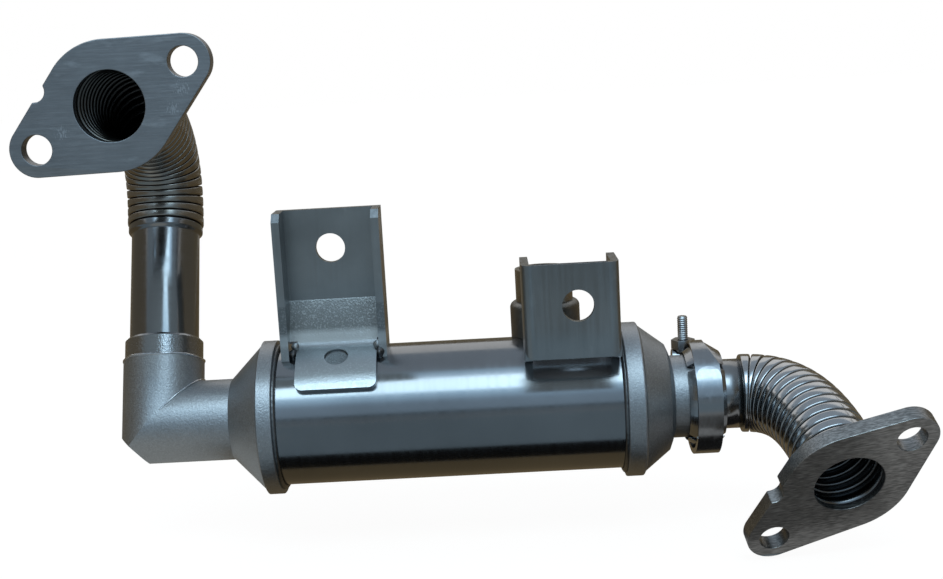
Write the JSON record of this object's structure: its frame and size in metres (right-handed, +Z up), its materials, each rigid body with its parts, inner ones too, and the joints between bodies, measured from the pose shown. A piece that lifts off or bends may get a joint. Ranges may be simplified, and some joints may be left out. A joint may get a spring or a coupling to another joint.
{
  "type": "egr cooler",
  "caption": "Shell-and-tube exhaust gas cooler with a cast elbow inlet, bent corrugated bellows to two-bolt flanges, a V-band joint, coolant nipples and mounting brackets.",
  "frame": {"origin": "centre of the gas inlet's bore, on the inlet flange's mating face", "axes": "+X along the shell from the gas inlet to the gas outlet, +Z up, and -Y out of the inlet flange's face"},
  "size_m": [0.2661, 0.1022, 0.1655],
  "materials": {
    "flange_steel": "satin, scuffed",
    "inlet_bellows_steel": "dull stainless",
    "outlet_bellows_steel": "bright stainless",
    "polished_steel": "drawn and polished stainless",
    "blasted_casting": "bead-blasted casting",
    "weld_metal": "weld bead",
    "inner_steel": "plain stainless",
    "port_steel": "plain steel",
    "bracket_steel": "satin sheet, bright at the bends",
    "clamp_steel": "bright stainless",
    "gasket_steel": "plain",
    "bolt_zinc": "zinc plated"
  },
  "bodies": {
    "root": {"inlet_flange": "flange_steel", "outlet_flange": "flange_steel", "inlet_bellows": "inlet_bellows_steel", "outlet_bellows": "outlet_bellows_steel", "inlet_pipe": "polished_steel", "shell": "polished_steel", "inlet_header": "blasted_casting", "outlet_header": "blasted_casting", "inlet_seam_weld": "weld_metal", "outlet_seam_weld": "weld_metal", "bracket_plug_weld": "weld_metal", "inlet_tube_sheet": "inner_steel", "outlet_tube_sheet": "inner_steel", "coolant_inlet_boss": "port_steel", "coolant_inlet_nipple": "port_steel", "coolant_outlet_boss": "port_steel", "coolant_outlet_nipple": "port_steel", "tab_bracket": "bracket_steel", "channel_bracket": "bracket_steel", "joint_gasket": "gasket_steel", "outlet_v_flange": "clamp_steel", "clamp_strap": "clamp_steel", "clamp_trunnion": "bolt_zinc", "clamp_t_bolt": "bolt_zinc", "clamp_nut": "bolt_zinc", "gas_tube_1": "inner_steel", "gas_tube_2": "inner_steel", "gas_tube_3": "inner_steel", "gas_tube_4": "inner_steel", "gas_tube_5": "inner_steel", "gas_tube_6": "inner_steel", "gas_tube_7": "inner_steel", "gas_tube_8": "inner_steel", "gas_tube_9": "inner_steel", "gas_tube_10": "inner_steel", "gas_tube_11": "inner_steel", "gas_tube_12": "inner_steel", "gas_tube_13": "inner_steel", "gas_tube_14": "inner_steel", "gas_tube_15": "inner_steel", "gas_tube_16": "inner_steel", "gas_tube_17": "inner_steel", "gas_tube_18": "inner_steel", "gas_tube_19": "inner_steel", "baffle_1": "inner_steel", "baffle_2": "inner_steel", "clamp_v_segment_1": "clamp_steel", "clamp_v_segment_2": "clamp_steel", "clamp_v_segment_3": "clamp_steel"}
  },
  "joints": []
}
